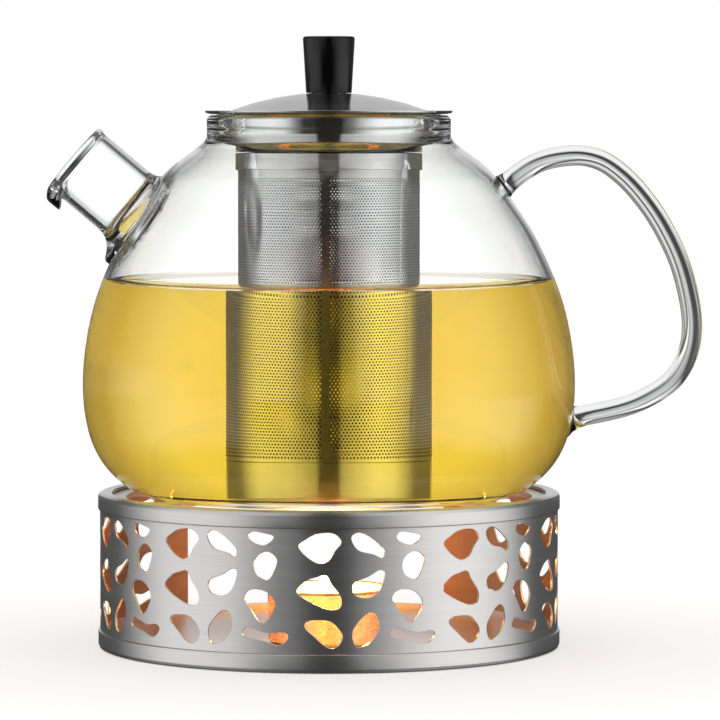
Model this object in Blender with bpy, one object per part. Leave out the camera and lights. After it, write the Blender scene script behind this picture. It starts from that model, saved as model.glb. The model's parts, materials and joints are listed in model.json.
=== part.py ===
"""Glass teapot with a steel infuser, a domed lid and a tealight warmer.

World frame, in metres: the origin is on the warmer's axis at its underside,
+Z is up, +X points to the pot's handle and -X to its spout.
Profiles of turned pieces are lists of (radius, height). Each one runs from the
axis (or the inside) over the top and down the outer side.
"""
import math

import bmesh
import bpy
from mathutils import Matrix, Vector
from mathutils.geometry import interpolate_bezier

MM = 0.001
GAP = 0.3 * MM                      # clearance between two pieces that touch
WELD = 0.00001                      # distance under which mesh points are one
POT_SIDES = 40                      # facets round the pot
ROUND_SIDES = 36                    # facets round the other large turned pieces
SMALL_SIDES = 24

# Warmer
WARMER_R = 73.0 * MM                # outer radius of the two rings
WARMER_H = 49.0 * MM
FOOT_RING_H = 5.7 * MM
TOP_RING_H = 5.1 * MM
RING_WALL = 2.2 * MM
RING_LEDGE = 4.4 * MM               # width of the flat top of the upper ring
RING_SHEET = 1.0 * MM
RING_EDGE_ROUND = 1.3 * MM
BAND_R = 72.4 * MM                  # outer radius of the perforated band
BAND_SHEET = 0.6 * MM
BAND_MODULES = 8                    # repeats of the hole pattern round the band
MODULE_ANGLE = math.radians(36.0)
MODULE_FACETS = 5
BAND_PLAIN_END = 12.0 * MM          # no hole's centre is closer to the band's ends
BAND_START = math.radians(-139.35)  # from the front (-Y), turning towards +X
FLOOR_R = 54.0 * MM                 # flat middle of the dished base plate
FLOOR_SHEET = 1.2 * MM
FLOOR_RISE = 2.3 * MM
SUPPORT_SHEET = 1.0 * MM
SUPPORT_INNER_R = 64.2 * MM
ARM_AZIMUTHS = (-30.0, 90.0, 210.0)
ARM_TIP_R = 46.0 * MM
ARM_TIP_HALF = 3.8 * MM             # half the width of an arm's round tip
# one flank of an arm: distance from the axis, half width
ARM_FLANK = ((64.2, 10.5), (61.5, 6.6), (58.5, 4.8), (52.0, 4.0))

# Glass pot
POT_FLOOR_Z = WARMER_H - RING_SHEET              # underside of the pot at rest
POT_WALL = 2.1 * MM
POT_FLOOR_WALL = 2.5 * MM
POT_FLOOR_R = 55.0 * MM             # where the flat floor inside turns up
NECK_R = 38.5 * MM
NECK_INNER_R = 35.2 * MM
NECK_TOP_Z = 167.8 * MM
NECK_LOW_Z = 160.9 * MM
# outer wall below the neck, down to the edge of the flat bottom
BELLY = ((40.2, 158.6), (46.0, 154.4), (52.3, 148.9), (58.1, 140.8), (64.5, 131.0),
         (72.4, 113.6), (76.3, 98.8), (77.8, 82.6), (76.0, 68.4), (71.4, 58.3),
         (63.8, 50.9), (57.0, 48.0))

# Spout: a straight tube welded on at an angle, with a rolled pouring lip
SPOUT_BASE = Vector((-55.0, 0.0, 132.7)) * MM    # axis point inside the belly wall
SPOUT_MOUTH = Vector((-80.6, 0.0, 154.4)) * MM
SPOUT_R = 12.0 * MM
SPOUT_BORE_R = 10.1 * MM
SPOUT_FLARE = 2.0 * MM
SPOUT_HOLE_REACH = 12.0 * MM        # how far the hole's cutter starts inside the pot
LIP_REACH = 2.3 * MM
LIP_HALF_ANGLE = math.radians(50.0)

# Handle: a bent glass rod, its centre line from the upper weld to the lower one
HANDLE_R = 3.25 * MM
HANDLE_LINE = ((52.5, 143.5), (64.5, 152.2), (75.7, 155.0), (84.7, 153.9), (92.0, 149.3),
               (98.9, 142.0), (105.5, 132.2), (111.2, 119.6), (114.5, 104.5),
               (113.6, 93.4), (109.0, 84.8), (101.4, 79.2), (92.0, 75.4), (74.0, 71.6))

# Infuser
FLANGE_R = 39.2 * MM
FLANGE_Z = NECK_TOP_Z + GAP                      # underside of the flange
STEEL_SHEET = 0.6 * MM
SEAT_R = 35.1 * MM                               # shoulder that the lid drops into
CUP_R = 33.4 * MM
CUP_LOW_Z = 159.5 * MM
CONE_LOW_Z = 155.3 * MM
COLLAR_R = 29.5 * MM
COLLAR_LOW_Z = 150.6 * MM
SLEEVE_R = 28.7 * MM
SLEEVE_WALL = 0.5 * MM
SLEEVE_LOW_Z = 60.0 * MM
SLEEVE_HIGH_Z = 154.4 * MM
BASE_CUP_LOW_Z = 52.0 * MM
BASE_CUP_HIGH_Z = 63.0 * MM
BASE_CUP_ROUND = 7.0 * MM

# Lid
LID_Z = 168.5 * MM                               # underside of the lid's rim
LID_R = 34.6 * MM
LID_SHEET = 0.7 * MM
DOME_R = 31.2 * MM
DOME_RISE = 5.7 * MM
LOCATOR_R = 32.2 * MM
LOCATOR_H = 5.6 * MM
KNOB_LOW_R = 7.2 * MM
KNOB_TOP_R = 8.2 * MM
KNOB_H = 17.3 * MM
KNOB_EDGE = 0.7 * MM
SCREW_R = 2.0 * MM
SCREW_HEAD_R = 3.6 * MM
SCREW_HEAD_H = 1.9 * MM
SCREW_REACH = 9.0 * MM                           # length of shank inside the knob
WASHER_R = 5.2 * MM
WASHER_H = 0.8 * MM

# Tealight
TEALIGHT_R = 19.4 * MM
TEALIGHT_H = 17.2 * MM
TEALIGHT_FOIL = 0.4 * MM
WAX_H = 13.2 * MM
WICK_R = 0.7 * MM
WICK_H = 16.8 * MM
WICK_TAB_R = 6.0 * MM
WICK_TAB_H = 0.5 * MM

# Holes of one repeat of the band: x along the band from the start of the repeat,
# z above the underside of the warmer, both in millimetres.
PEBBLES = (
    ((1.4, 40.7), (2.6, 42.4), (5.0, 42.3), (8.4, 40.2), (11.3, 37.2), (10.9, 34.9),
     (8.0, 36.1), (3.5, 37.4)),
    ((1.7, 25.7), (2.6, 27.7), (6.4, 29.2), (10.0, 31.2), (11.6, 30.0), (10.0, 25.2),
     (7.0, 23.0), (3.0, 23.5)),
    ((1.7, 11.7), (2.9, 14.8), (6.4, 18.2), (8.8, 17.9), (9.8, 14.2), (8.7, 11.4),
     (6.4, 9.0), (3.0, 8.2)),
    ((15.3, 41.0), (16.4, 42.6), (18.8, 42.5), (23.3, 41.3), (20.4, 38.7), (16.8, 39.5)),
    ((17.1, 32.7), (18.4, 35.5), (21.5, 36.7), (24.2, 34.6), (23.5, 31.2), (21.4, 28.2),
     (18.0, 29.6)),
    ((13.9, 22.2), (14.9, 24.5), (17.7, 25.3), (21.5, 24.2), (23.7, 20.6), (20.9, 15.7),
     (18.6, 15.6), (15.7, 19.7)),
    ((13.3, 12.2), (14.9, 13.7), (17.7, 13.0), (22.1, 12.0), (26.4, 12.4), (27.7, 10.8),
     (24.6, 8.5), (18.8, 9.9), (14.1, 10.9)),
    ((30.9, 38.6), (33.3, 40.7), (36.6, 42.3), (41.4, 42.4), (43.8, 39.9), (41.9, 37.2),
     (39.9, 34.2), (36.9, 33.4), (33.3, 35.5)),
    ((30.4, 25.0), (33.3, 28.1), (36.6, 29.3), (39.3, 29.7), (40.8, 27.2), (43.6, 23.2),
     (43.2, 19.9), (39.3, 19.7), (33.3, 22.4)),
    ((32.8, 14.2), (34.2, 16.0), (39.9, 16.0), (42.9, 13.7), (44.1, 11.1), (42.6, 8.4),
     (39.8, 8.0), (35.7, 11.3)),
)


# ---------------------------------------------------------------- helpers
def clear_scene():
    for old in list(bpy.data.objects):
        bpy.data.objects.remove(old, do_unlink=True)


def make_material(name, colour, roughness, metallic=0.0, transmission=0.0):
    material = bpy.data.materials.new(name)
    material.use_nodes = True
    shader = material.node_tree.nodes["Principled BSDF"]
    shader.inputs["Base Color"].default_value = (*colour, 1.0)
    shader.inputs["Roughness"].default_value = roughness
    shader.inputs["Metallic"].default_value = metallic
    shader.inputs["Transmission Weight"].default_value = transmission
    return material


def add_object(name, mesh, material, parent=None):
    piece = bpy.data.objects.new(name, mesh)
    bpy.context.scene.collection.objects.link(piece)
    if material is not None:
        mesh.materials.append(material)
    piece.parent = parent
    return piece


def add_empty(name, parent=None):
    empty = bpy.data.objects.new(name, None)
    bpy.context.scene.collection.objects.link(empty)
    empty.parent = parent
    return empty


def shade_round(piece, angle=35.0):
    piece.data.shade_smooth()
    piece.data.set_sharp_from_angle(angle=math.radians(angle))


def turned(name, profile, segments, material, parent=None, closed=False):
    """A body of revolution about Z. A closed profile is a ring that misses the axis."""
    mesh = bpy.data.meshes.new(name)
    last = len(profile) - 1
    edges = [(i, i + 1) for i in range(last)]
    if closed:
        edges.append((last, 0))
    mesh.from_pydata([(r, 0.0, z) for r, z in profile], edges, [])
    piece = add_object(name, mesh, material, parent)
    turn = piece.modifiers.new("turn", "SCREW")
    turn.steps = segments
    turn.render_steps = segments
    turn.use_merge_vertices = True
    turn.merge_threshold = WELD
    return piece


def arc(centre, radius, start, end, steps):
    """Points (r, z) on a circle, from one angle to another, in degrees from +r."""
    points = []
    for i in range(steps + 1):
        angle = math.radians(start + (end - start) * i / steps)
        points.append((centre[0] + radius * math.cos(angle),
                       centre[1] + radius * math.sin(angle)))
    return points


def flowing_line(anchors, steps):
    """Points on a smooth curve through the anchors, with steps in each span."""
    points = [Vector(p) for p in anchors]
    count = len(points)
    tangents = []
    for i, point in enumerate(points):
        before = points[max(i - 1, 0)]
        after = points[min(i + 1, count - 1)]
        tangents.append((after - before).normalized())
    line = [points[0]]
    for i in range(count - 1):
        reach = (points[i + 1] - points[i]).length / 3.0
        span = interpolate_bezier(points[i], points[i] + tangents[i] * reach,
                                  points[i + 1] - tangents[i + 1] * reach,
                                  points[i + 1], steps + 1)
        line += [Vector(p) for p in span[1:]]
    return line


def shifted(profile, distance):
    """The profile moved sideways by distance: positive is to the right of its run,
    which is inwards for an outer side that runs downwards."""
    moved = []
    last = len(profile) - 1
    for i, (r, z) in enumerate(profile):
        before = profile[max(i - 1, 0)]
        after = profile[min(i + 1, last)]
        run = Vector((after[0] - before[0], after[1] - before[1])).normalized()
        moved.append((r + run.y * distance, z - run.x * distance))
    return moved


def cutter_from(piece, target, operation="DIFFERENCE"):
    """Cuts target with piece, and keeps piece as a hidden guide."""
    piece.hide_render = True
    piece.display_type = "WIRE"
    cut = target.modifiers.new("cut", "BOOLEAN")
    cut.operation = operation
    cut.solver = "EXACT"
    cut.object = piece


def sheet_from_outlines(loops):
    """A flat triangulated sheet in the XY plane between an outline and its holes."""
    sheet = bmesh.new()
    edges = []
    for loop in loops:
        corners = [sheet.verts.new((x, y, 0.0)) for x, y in loop]
        for i, corner in enumerate(corners):
            edges.append(sheet.edges.new((corner, corners[(i + 1) % len(corners)])))
    bmesh.ops.triangle_fill(sheet, use_beauty=True, edges=edges, normal=(0.0, 0.0, 1.0))
    return sheet


def thicken(piece, thickness):
    """Gives a sheet its thickness, on the side away from its normals."""
    solid = piece.modifiers.new("sheet", "SOLIDIFY")
    solid.thickness = thickness
    solid.offset = -1.0
    solid.use_rim = True


# ---------------------------------------------------------------- warmer
def build_top_ring(steel, parent):
    low = WARMER_H - TOP_RING_H
    inner = WARMER_R - RING_LEDGE
    skirt = WARMER_R - RING_WALL
    edge = arc((WARMER_R - RING_EDGE_ROUND, WARMER_H - RING_EDGE_ROUND), RING_EDGE_ROUND,
               90, 0, 2)
    profile = [(skirt, low), (skirt, WARMER_H - RING_SHEET), (inner, WARMER_H - RING_SHEET),
               (inner, WARMER_H), *edge, (WARMER_R, low)]
    shade_round(turned("warmer_top_ring", profile, ROUND_SIDES, steel, parent, closed=True))


def build_foot_ring(steel, parent):
    inner = WARMER_R - RING_WALL
    edge = arc((WARMER_R - RING_EDGE_ROUND, RING_EDGE_ROUND), RING_EDGE_ROUND, 0, -90, 2)
    profile = [(inner, 0.0), (inner, FOOT_RING_H), (WARMER_R, FOOT_RING_H), *edge]
    shade_round(turned("warmer_foot_ring", profile, ROUND_SIDES, steel, parent, closed=True))


def build_band(steel, parent):
    """The perforated band: each repeat is filled flat and rolled up in its place.
    It is left open at the back, two repeats wide, to put the tealight in."""
    length = BAND_R * MODULE_ANGLE
    low = FOOT_RING_H + GAP
    high = WARMER_H - TOP_RING_H - GAP
    along = [length * i / MODULE_FACETS for i in range(MODULE_FACETS + 1)]
    frame = [(x, low) for x in along] + [(x, high) for x in reversed(along)]
    holes = [[(x * MM, z * MM) for x, z in pebble] for pebble in PEBBLES]
    last_centre = BAND_MODULES * length - BAND_PLAIN_END
    rolled = bmesh.new()
    for i in range(BAND_MODULES):
        centres = [i * length + sum(x for x, z in hole) / len(hole) for hole in holes]
        kept = [hole for hole, centre in zip(holes, centres)
                if BAND_PLAIN_END < centre < last_centre]
        flat = sheet_from_outlines([frame, *kept])
        for vert in flat.verts:
            angle = BAND_START + i * MODULE_ANGLE + vert.co.x / BAND_R
            vert.co = (BAND_R * math.sin(angle), -BAND_R * math.cos(angle), vert.co.y)
        repeat = bpy.data.meshes.new("band_repeat")
        flat.to_mesh(repeat)
        flat.free()
        rolled.from_mesh(repeat)
        bpy.data.meshes.remove(repeat)
    bmesh.ops.remove_doubles(rolled, verts=rolled.verts, dist=WELD)
    mesh = bpy.data.meshes.new("warmer_band")
    rolled.to_mesh(mesh)
    rolled.free()
    band = add_object("warmer_band", mesh, steel, parent)
    thicken(band, BAND_SHEET)


def build_base_plate(steel, parent):
    """A dished floor: flat in the middle, rising to the foot ring."""
    rim_r = WARMER_R - RING_WALL - GAP
    rim_top = FLOOR_RISE + FLOOR_SHEET
    profile = [(0.0, FLOOR_SHEET), (FLOOR_R, FLOOR_SHEET), (rim_r - 1.0 * MM, rim_top),
               (rim_r, rim_top), (rim_r, FLOOR_RISE), (FLOOR_R + 0.8 * MM, 0.0), (0.0, 0.0)]
    shade_round(turned("warmer_base_plate", profile, ROUND_SIDES, steel, parent))


def build_pot_support(steel, parent):
    """The flat plate under the top ring, with three arms that carry the pot."""
    outer_r = WARMER_R - RING_WALL - GAP
    top = WARMER_H - RING_SHEET - GAP
    outer = [(outer_r * math.cos(a), outer_r * math.sin(a))
             for a in (2.0 * math.pi * i / ROUND_SIDES for i in range(ROUND_SIDES))]
    inner = []
    root_angle = math.atan2(ARM_FLANK[0][1] * MM, SUPPORT_INNER_R)
    for azimuth in ARM_AZIMUTHS:
        turn = Matrix.Rotation(math.radians(azimuth), 2)
        arm = [(r * MM, -w * MM) for r, w in ARM_FLANK]
        arm += arc((ARM_TIP_R + ARM_TIP_HALF, 0.0), ARM_TIP_HALF, 270, 90, 5)
        arm += [(r * MM, w * MM) for r, w in reversed(ARM_FLANK)]
        inner += [tuple(turn @ Vector(p)) for p in arm]
        start = math.radians(azimuth) + root_angle
        sweep = math.radians(120.0) - 2.0 * root_angle
        inner += [(SUPPORT_INNER_R * math.cos(start + sweep * i / 10),
                   SUPPORT_INNER_R * math.sin(start + sweep * i / 10)) for i in range(1, 10)]
    plate = sheet_from_outlines([outer, inner])
    for vert in plate.verts:
        vert.co.z = top
    mesh = bpy.data.meshes.new("pot_support")
    plate.to_mesh(mesh)
    plate.free()
    thicken(add_object("pot_support", mesh, steel, parent), SUPPORT_SHEET)


# ---------------------------------------------------------------- glass pot
def belly_line(steps):
    """The outer side of the pot below its neck, from the top down."""
    anchors = [(NECK_R, NECK_LOW_Z), *((r * MM, z * MM) for r, z in BELLY)]
    return [(p.x, p.y) for p in flowing_line([(r, z, 0.0) for r, z in anchors], steps)]


def build_glass_body(glass, parent):
    outer = belly_line(2)
    inner = shifted(outer, POT_WALL)[3:-2:2]
    floor_z = POT_FLOOR_Z + POT_FLOOR_WALL
    profile = [(0.0, floor_z), (POT_FLOOR_R, floor_z), *reversed(inner),
               (NECK_INNER_R, NECK_LOW_Z - 1.5 * MM), (NECK_INNER_R, NECK_LOW_Z), *outer,
               (0.0, POT_FLOOR_Z)]
    body = turned("glass_body", profile, POT_SIDES, glass, parent)
    shade_round(body)
    reach = (SPOUT_MOUTH - SPOUT_BASE).normalized() * SPOUT_HOLE_REACH
    hole = round_bar("spout_hole_guide", SPOUT_BASE - reach, SPOUT_BASE + 3.0 * reach,
                     SPOUT_BORE_R, SMALL_SIDES)
    cutter_from(hole, body)


def build_glass_rim(glass, parent):
    """The thick ring round the mouth, with its top edge melted round."""
    bead = (NECK_R - NECK_INNER_R) / 2.0
    low = NECK_LOW_Z + GAP
    edge = arc((NECK_INNER_R + bead, NECK_TOP_Z - bead), bead, 180, 0, 4)
    profile = [(NECK_INNER_R, low), *edge, (NECK_R, low)]
    shade_round(turned("glass_rim", profile, POT_SIDES, glass, parent, closed=True))


def round_bar(name, start, end, radius, sides):
    mesh = bpy.data.meshes.new(name)
    bar = bmesh.new()
    along = end - start
    turn = along.to_track_quat("Z", "Y").to_matrix().to_4x4()
    place = Matrix.Translation((start + end) / 2.0) @ turn
    bmesh.ops.create_cone(bar, cap_ends=True, segments=sides, radius1=radius, radius2=radius,
                          depth=along.length, matrix=place)
    bar.to_mesh(mesh)
    bar.free()
    return add_object(name, mesh, None)


def build_weld_guide():
    """The pot's outer shape grown by the clearance: it trims what is welded on."""
    outer = shifted(belly_line(2), -GAP)
    profile = [(0.0, NECK_LOW_Z), *outer, (0.0, POT_FLOOR_Z)]
    return turned("weld_guide", profile, POT_SIDES, None)


def build_spout(glass, parent, weld_guide):
    """A tube of rings along a slanted axis, with a flared foot and a rolled lip."""
    axis = (SPOUT_MOUTH - SPOUT_BASE).normalized()
    down = Vector((axis.z, 0.0, -axis.x)) * -1.0       # across the axis, to the underside
    side = axis.cross(down)
    length = (SPOUT_MOUTH - SPOUT_BASE).length

    def ring(distance, radius, reach):
        """A ring of points, pushed out by up to reach on the pouring side."""
        points = []
        for i in range(SMALL_SIDES):
            angle = 2.0 * math.pi * i / SMALL_SIDES
            off = abs(math.atan2(math.sin(angle), math.cos(angle)))
            swell = 0.0
            if off < LIP_HALF_ANGLE:
                swell = math.cos(off / LIP_HALF_ANGLE * math.pi / 2.0)
            out = down * math.cos(angle) + side * math.sin(angle)
            points.append(SPOUT_BASE + axis * distance + out * (radius + reach * swell))
        return points

    outer = [(0.0, SPOUT_R + SPOUT_FLARE * 2.4, 0.0), (8.5 * MM, SPOUT_R + SPOUT_FLARE, 0.0),
             (11.0 * MM, SPOUT_R + SPOUT_FLARE * 0.4, 0.0), (14.0 * MM, SPOUT_R, 0.0),
             (length - 7.0 * MM, SPOUT_R, 0.0), (length - 4.0 * MM, SPOUT_R, LIP_REACH * 0.45),
             (length - 2.2 * MM, SPOUT_R, LIP_REACH), (length - 0.7 * MM, SPOUT_R, LIP_REACH * 0.9),
             (length, SPOUT_R - 0.5 * MM, LIP_REACH * 0.7)]
    inner = [(length, SPOUT_BORE_R + 0.4 * MM, LIP_REACH * 0.7),
             (length - 1.0 * MM, SPOUT_BORE_R, LIP_REACH * 0.6),
             (length - 5.0 * MM, SPOUT_BORE_R, 0.0), (0.0, SPOUT_BORE_R, 0.0)]
    rings = [ring(*spec) for spec in (*outer, *inner)]
    verts = [p for loop in rings for p in loop]
    faces = []
    for a in range(len(rings)):
        b = (a + 1) % len(rings)
        for i in range(SMALL_SIDES):
            j = (i + 1) % SMALL_SIDES
            faces.append((a * SMALL_SIDES + i, a * SMALL_SIDES + j,
                          b * SMALL_SIDES + j, b * SMALL_SIDES + i))
    mesh = bpy.data.meshes.new("spout")
    mesh.from_pydata(verts, [], faces)
    mesh.update()
    spout = add_object("spout", mesh, glass, parent)
    shade_round(spout)
    cutter_from(weld_guide, spout)


def build_handle(glass, parent, weld_guide):
    line = flowing_line([(x * MM, 0.0, z * MM) for x, z in HANDLE_LINE], 2)
    curve = bpy.data.curves.new("handle_line", "CURVE")
    curve.dimensions = "3D"
    curve.bevel_depth = HANDLE_R
    curve.bevel_resolution = 3
    curve.use_fill_caps = True
    spline = curve.splines.new("POLY")
    spline.points.add(len(line) - 1)
    last = len(line) - 1
    for i, point in enumerate(line):
        spline.points[i].co = (*point, 1.0)
        weld = max(0.0, 1.0 - min(i, last - i) / 4.0)
        spline.points[i].radius = 1.0 + 0.5 * weld * weld
    guide = bpy.data.objects.new("handle_line", curve)
    bpy.context.scene.collection.objects.link(guide)
    depsgraph = bpy.context.evaluated_depsgraph_get()
    mesh = bpy.data.meshes.new_from_object(guide.evaluated_get(depsgraph))
    bpy.data.objects.remove(guide, do_unlink=True)
    mesh.materials.clear()
    handle = add_object("handle", mesh, glass, parent)
    shade_round(handle, 50.0)
    cutter_from(weld_guide, handle)


# ---------------------------------------------------------------- infuser
def build_infuser_rim(steel, parent):
    """Flange, lid seat, cup and cone, spun from one sheet."""
    t = STEEL_SHEET
    outer = [(FLANGE_R, FLANGE_Z + t + 0.5 * MM), (FLANGE_R - 0.3 * MM, FLANGE_Z + 0.3 * MM),
             (FLANGE_R - 1.2 * MM, FLANGE_Z), (SEAT_R + 0.6 * MM, FLANGE_Z),
             (SEAT_R, FLANGE_Z - 0.5 * MM),
             (CUP_R + 0.5 * MM, FLANGE_Z - 0.5 * MM), (CUP_R, FLANGE_Z - 1.0 * MM), (CUP_R, CUP_LOW_Z),
             (COLLAR_R, CONE_LOW_Z)]
    inner = [(COLLAR_R - t, CONE_LOW_Z), (CUP_R - t, CUP_LOW_Z + 0.3 * MM),
             (CUP_R - t, FLANGE_Z - 0.8 * MM),
             (CUP_R + 0.2 * MM, FLANGE_Z + t - 0.5 * MM), (SEAT_R - 0.1 * MM, FLANGE_Z + t - 0.5 * MM),
             (SEAT_R + 0.4 * MM, FLANGE_Z + t), (FLANGE_R - 1.3 * MM, FLANGE_Z + t),
             (FLANGE_R - 0.6 * MM, FLANGE_Z + t + 0.5 * MM)]
    shade_round(turned("infuser_rim", [*inner, *outer], ROUND_SIDES, steel, parent, closed=True))


def build_infuser_collar(steel, parent):
    inner = SLEEVE_R + GAP
    high = CONE_LOW_Z - GAP
    profile = [(inner, COLLAR_LOW_Z), (inner, high), (COLLAR_R, high), (COLLAR_R, COLLAR_LOW_Z)]
    shade_round(turned("infuser_collar", profile, ROUND_SIDES, steel, parent, closed=True))


def build_infuser_sleeve(steel, parent):
    """The strainer wall. Its fine perforation is a surface detail, left to the finish."""
    inner = SLEEVE_R - SLEEVE_WALL
    profile = [(inner, SLEEVE_LOW_Z), (inner, SLEEVE_HIGH_Z), (SLEEVE_R, SLEEVE_HIGH_Z),
               (SLEEVE_R, SLEEVE_LOW_Z)]
    shade_round(turned("infuser_sleeve", profile, ROUND_SIDES, steel, parent, closed=True))


def build_infuser_base_cup(steel, parent):
    outer_r = COLLAR_R
    t = STEEL_SHEET - 0.1 * MM
    turn_r = outer_r - BASE_CUP_ROUND
    turn_z = BASE_CUP_LOW_Z + BASE_CUP_ROUND
    inner = arc((turn_r, turn_z), BASE_CUP_ROUND - t, -90, 0, 3)
    outer = arc((turn_r, turn_z), BASE_CUP_ROUND, 0, -90, 3)
    profile = [(0.0, BASE_CUP_LOW_Z + t), *inner, (outer_r - t, BASE_CUP_HIGH_Z),
               (outer_r, BASE_CUP_HIGH_Z), *outer, (0.0, BASE_CUP_LOW_Z)]
    shade_round(turned("infuser_base_cup", profile, ROUND_SIDES, steel, parent))


# ---------------------------------------------------------------- lid
def dome_arc(lift, outer_r, inner_r, steps):
    """Points on the dome's sphere, from outer_r to inner_r, moved up by lift."""
    sphere_r = (DOME_R ** 2 + DOME_RISE ** 2) / (2.0 * DOME_RISE)
    centre_z = LID_Z + LID_SHEET + DOME_RISE - sphere_r + lift
    points = []
    for i in range(steps + 1):
        r = outer_r + (inner_r - outer_r) * i / steps
        points.append((r, centre_z + math.sqrt(sphere_r ** 2 - r ** 2)))
    return points


def build_lid(steel, parent):
    """A shallow dome with a flat rim, and a hole at its top for the knob's screw."""
    hole_r = SCREW_R + GAP
    under = dome_arc(-LID_SHEET, DOME_R - 0.3 * MM, hole_r, 4)
    over = dome_arc(0.0, hole_r, DOME_R, 4)
    under[0] = (DOME_R - 0.5 * MM, LID_Z)
    profile = [*under, *over, (LID_R - 0.2 * MM, LID_Z + LID_SHEET), (LID_R, LID_Z + LID_SHEET / 2.0),
               (LID_R - 0.2 * MM, LID_Z)]
    shade_round(turned("lid_dome", profile, ROUND_SIDES, steel, parent, closed=True))


def build_lid_locator(steel, parent):
    """The ring welded under the lid's rim, which keeps the lid centred."""
    high = LID_Z - GAP
    low = high - LOCATOR_H
    inner = LOCATOR_R - STEEL_SHEET
    profile = [(inner - 0.3 * MM, low), (inner, high), (LOCATOR_R, high), (LOCATOR_R - 0.3 * MM, low)]
    shade_round(turned("lid_locating_ring", profile, ROUND_SIDES, steel, parent, closed=True))


def knob_base_z():
    return LID_Z + LID_SHEET + DOME_RISE + GAP


def build_knob(plastic, parent):
    low = knob_base_z()
    high = low + KNOB_H
    hole_r = SCREW_R + GAP
    hole_top = low + SCREW_REACH + 0.8 * MM
    top_edge = arc((KNOB_TOP_R - KNOB_EDGE, high - KNOB_EDGE), KNOB_EDGE, 90, 0, 3)
    low_edge = arc((KNOB_LOW_R - KNOB_EDGE, low + KNOB_EDGE), KNOB_EDGE, 0, -90, 2)
    profile = [(0.0, high), *top_edge, *low_edge, (hole_r, low), (hole_r, hole_top), (0.0, hole_top)]
    shade_round(turned("knob", profile, SMALL_SIDES, plastic, parent))


def build_knob_washer(steel, parent):
    under_dome = dome_arc(-LID_SHEET, WASHER_R, WASHER_R, 1)[0][1]
    high = under_dome - GAP
    low = high - WASHER_H
    hole_r = SCREW_R + GAP
    profile = [(hole_r, low), (hole_r, high), (WASHER_R, high), (WASHER_R, low)]
    shade_round(turned("knob_washer", profile, SMALL_SIDES, steel, parent, closed=True))
    return low


def build_knob_screw(steel, parent, washer_low):
    """Pan-head screw: its head is under the washer and its shank is in the knob."""
    high = washer_low - GAP
    low = high - SCREW_HEAD_H
    slot_r = 1.3 * MM
    slot_h = 1.1 * MM
    head = arc((SCREW_HEAD_R - 0.9 * MM, low + 0.9 * MM), 0.9 * MM, 0, -90, 2)
    tip = knob_base_z() + SCREW_REACH
    profile = [(0.0, tip), (SCREW_R, tip - 0.4 * MM), (SCREW_R, high), (SCREW_HEAD_R, high), *head,
               (slot_r, low), (slot_r, low + slot_h), (0.0, low + slot_h)]
    shade_round(turned("knob_screw", profile, SMALL_SIDES, steel, parent))


# ---------------------------------------------------------------- tealight
def build_tealight(foil, wax, cotton, tin, parent):
    low = FLOOR_SHEET + GAP
    high = low + TEALIGHT_H
    t = TEALIGHT_FOIL
    r = TEALIGHT_R
    cup = [(0.0, low + t), (r - 1.0 * MM, low + t), (r - t, low + 0.8 * MM + t), (r - t, high - t),
           (r + 0.3 * MM, high), (r + 0.6 * MM, high - 0.3 * MM), (r, high - 1.0 * MM),
           (r, low + 0.8 * MM), (r - 0.8 * MM, low), (0.0, low)]
    shade_round(turned("tealight_cup", cup, SMALL_SIDES, foil, parent))

    wax_low = low + t + GAP
    wax_r = r - t - GAP
    tab_top = wax_low + WICK_TAB_H + GAP
    wick_hole = WICK_R + GAP
    body = [(wick_hole, tab_top), (wick_hole, wax_low + WAX_H), (wax_r, wax_low + WAX_H),
            (wax_r, wax_low + 1.0 * MM), (wax_r - 1.0 * MM, wax_low), (WICK_TAB_R + GAP, wax_low),
            (WICK_TAB_R + GAP, tab_top)]
    shade_round(turned("tealight_wax", body, SMALL_SIDES, wax, parent, closed=True))

    tab = [(0.0, wax_low + WICK_TAB_H), (WICK_TAB_R, wax_low + WICK_TAB_H), (WICK_TAB_R, wax_low),
           (0.0, wax_low)]
    shade_round(turned("tealight_wick_tab", tab, SMALL_SIDES, tin, parent))

    wick_low = wax_low + WICK_TAB_H + GAP
    wick_top = wick_low + WICK_H
    wick = [(0.0, wick_top), (WICK_R * 0.7, wick_top), (WICK_R, wick_top - 0.5 * MM),
            (WICK_R, wick_low), (0.0, wick_low)]
    shade_round(turned("tealight_wick", wick, 12, cotton, parent))


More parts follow.
